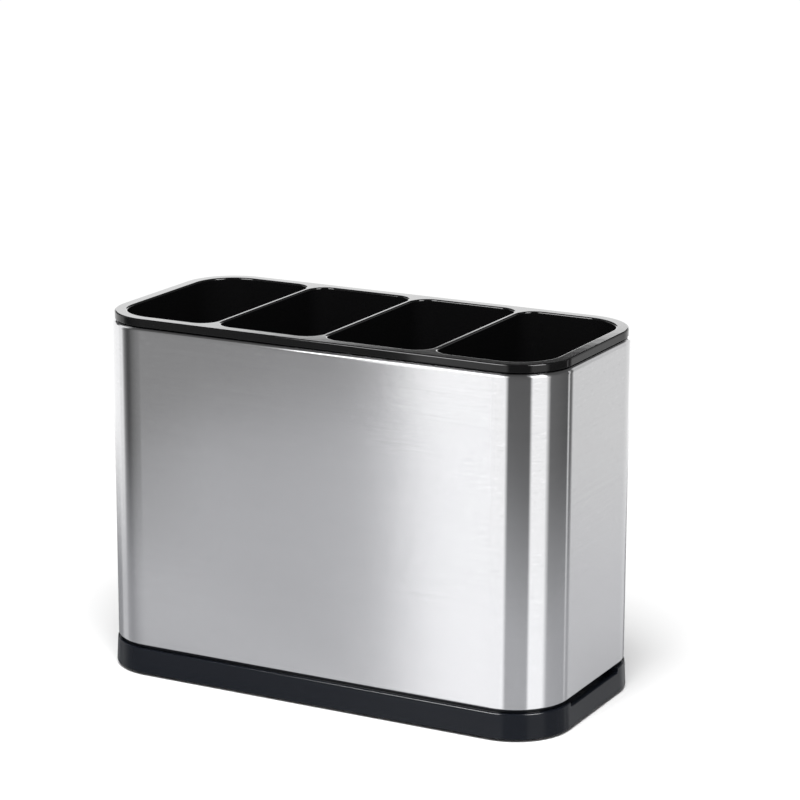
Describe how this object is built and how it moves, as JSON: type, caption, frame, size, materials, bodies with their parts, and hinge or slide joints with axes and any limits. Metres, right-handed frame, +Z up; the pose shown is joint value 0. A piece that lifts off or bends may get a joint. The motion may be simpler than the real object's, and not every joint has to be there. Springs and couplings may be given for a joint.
{
  "type": "cutlery caddy",
  "caption": "Free-standing cutlery caddy: black compartment insert hung by its rim in a brushed steel sleeve on a black drip tray.",
  "frame": {"origin": "on the table, under the middle of the caddy", "axes": "+X along the length, +Y towards the back, +Z up"},
  "size_m": [0.2068, 0.0986, 0.1512],
  "materials": {
    "insert_plastic": "glossy black moulding with a faint orange peel",
    "sleeve_steel": "stainless sheet, brushed lengthwise round the sleeve",
    "tray_plastic": "satin black moulding",
    "foot_rubber": "matt black rubber"
  },
  "bodies": {
    "base": {"drip_tray": "tray_plastic", "foot_front_left": "foot_rubber", "foot_front_right": "foot_rubber", "foot_back_left": "foot_rubber", "foot_back_right": "foot_rubber"},
    "sleeve": {"steel_sleeve": "sleeve_steel"},
    "insert": {"compartment_insert": "insert_plastic"}
  },
  "joints": [
    {"name": "sleeve_lift", "type": "slide", "parent": "base", "child": "sleeve", "axis": [0, 0, 1], "range_m": [0, 0.03]},
    {"name": "insert_lift", "type": "slide", "parent": "sleeve", "child": "insert", "axis": [0, 0, 1], "range_m": [0, 0.14]}
  ]
}
